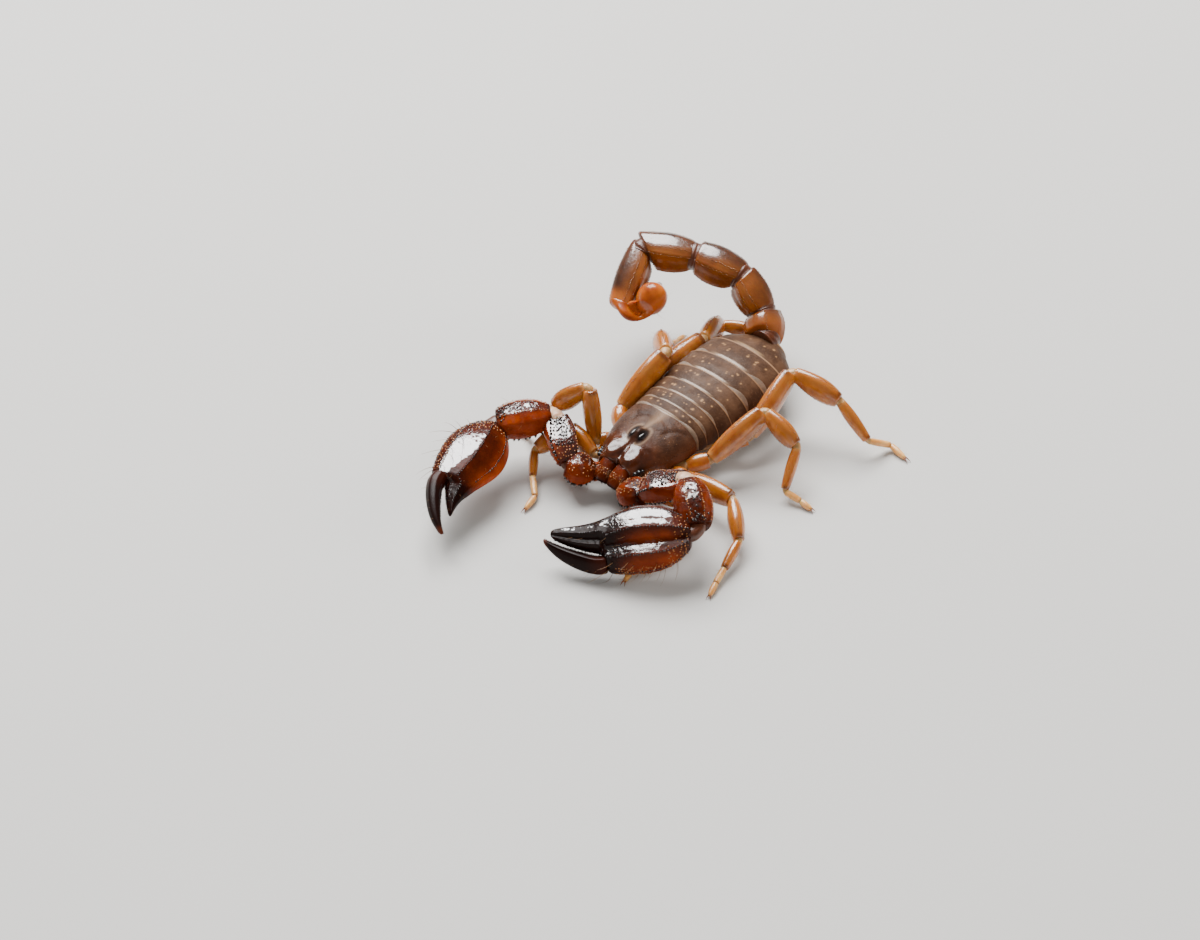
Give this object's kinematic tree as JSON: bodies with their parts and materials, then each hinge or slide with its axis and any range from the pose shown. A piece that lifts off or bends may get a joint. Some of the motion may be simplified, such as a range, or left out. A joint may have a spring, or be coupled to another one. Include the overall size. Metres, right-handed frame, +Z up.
{
  "type": "scorpion",
  "caption": "Life-size model of a small dark forest scorpion standing with its claws in front and its tail curled over to one side.",
  "frame": {"origin": "on the floor, under the middle of the whole model's box", "axes": "+Z up from the floor the feet stand on, +Y towards the rear of the trunk, +X towards the animal's left"},
  "size_m": [0.0224, 0.0294, 0.0075],
  "materials": {
    "back_plate": "satin dark grey-brown with small pale spots",
    "belly_plate": "satin tan",
    "claw_arm": "very glossy dark red-brown, beaded keels",
    "finger": "glossy black-brown",
    "jaw": "glossy red-brown",
    "eye": "polished black",
    "tail": "glossy orange-brown, darker above",
    "telson": "glossy orange, dark sting",
    "leg": "glossy translucent amber"
  },
  "bodies": {
    "root": {"arm_left_coxa": "claw_arm", "arm_left_femur": "claw_arm", "arm_left_finger": "finger", "arm_left_hand": "claw_arm", "arm_left_patella": "claw_arm", "arm_left_trochanter": "claw_arm", "arm_right_coxa": "claw_arm", "arm_right_femur": "claw_arm", "arm_right_finger": "finger", "arm_right_hand": "claw_arm", "arm_right_patella": "claw_arm", "arm_right_trochanter": "claw_arm", "carapace": "back_plate", "comb_left": "belly_plate", "comb_right": "belly_plate", "hip_plate": "belly_plate", "jaw_left": "jaw", "jaw_right": "jaw", "lateral_eyes_left": "eye", "lateral_eyes_right": "eye", "leg_left_1_femur": "leg", "leg_left_1_patella": "leg", "leg_left_1_tibia": "leg", "leg_left_2_femur": "leg", "leg_left_2_patella": "leg", "leg_left_2_tibia": "leg", "leg_left_3_femur": "leg", "leg_left_3_patella": "leg", "leg_left_3_tibia": "leg", "leg_left_4_femur": "leg", "leg_left_4_patella": "leg", "leg_left_4_tibia": "leg", "leg_right_1_femur": "leg", "leg_right_1_patella": "leg", "leg_right_1_tibia": "leg", "leg_right_2_femur": "leg", "leg_right_2_patella": "leg", "leg_right_2_tibia": "leg", "leg_right_3_femur": "leg", "leg_right_3_patella": "leg", "leg_right_3_tibia": "leg", "leg_right_4_femur": "leg", "leg_right_4_patella": "leg", "leg_right_4_tibia": "leg", "median_eye_left": "eye", "median_eye_right": "eye", "tail_1": "tail", "tail_2": "tail", "tail_3": "tail", "tail_4": "tail", "tail_5": "tail", "telson": "telson", "trunk_1": "back_plate", "trunk_2": "back_plate", "trunk_3": "back_plate", "trunk_4": "back_plate", "trunk_5": "back_plate", "trunk_6": "back_plate", "trunk_7": "back_plate"}
  },
  "joints": []
}
